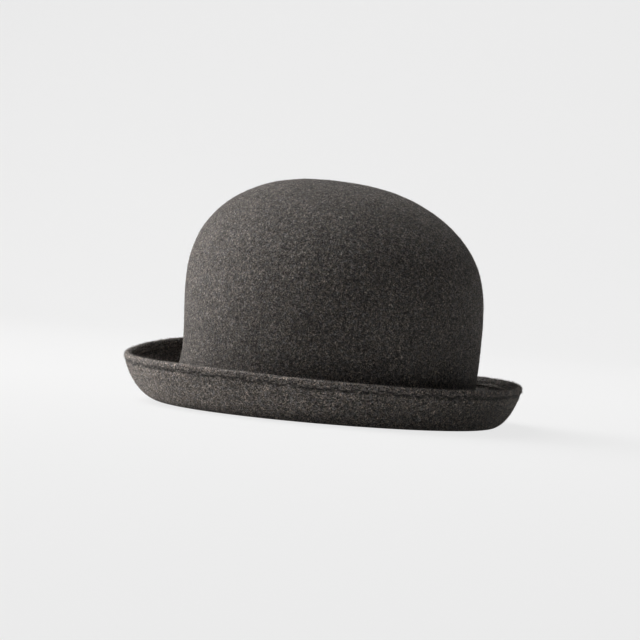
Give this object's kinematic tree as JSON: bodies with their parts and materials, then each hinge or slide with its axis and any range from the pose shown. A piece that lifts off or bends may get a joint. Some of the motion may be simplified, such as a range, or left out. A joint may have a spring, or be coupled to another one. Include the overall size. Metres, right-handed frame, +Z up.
{
  "type": "bowler hat",
  "caption": "Soft wool-felt bowler hat with a round oval crown and a rolled brim, wired and stitched at its edge, with sweatband and lining.",
  "frame": {"origin": "middle of the hat's length and width, on the plane that its brim rests on", "axes": "+Z up through the crown, +Y to the back of the hat, -Y to its front, X across"},
  "size_m": [0.2456, 0.2696, 0.1477],
  "materials": {
    "wool_felt": "matt felted wool, warm dark grey melange",
    "sewing_thread": "twisted polyester thread",
    "spring_steel": "drawn wire",
    "sweatband_leather": "smooth dark brown sheepskin",
    "reed": "plain extruded reed",
    "bow_ribbon": "fine ribbed ribbon",
    "lining_satin": "satin weave"
  },
  "bodies": {
    "root": {"felt_body": "wool_felt", "brim_wire": "spring_steel", "brim_wire_joiner": "spring_steel", "hem_needle_thread": "sewing_thread", "hem_bobbin_thread": "sewing_thread", "sweatband": "sweatband_leather", "sweatband_reed": "reed", "sweatband_thread": "sewing_thread", "bow_loops": "bow_ribbon", "bow_knot": "bow_ribbon", "lining_side": "lining_satin", "lining_tip": "lining_satin"}
  },
  "joints": []
}
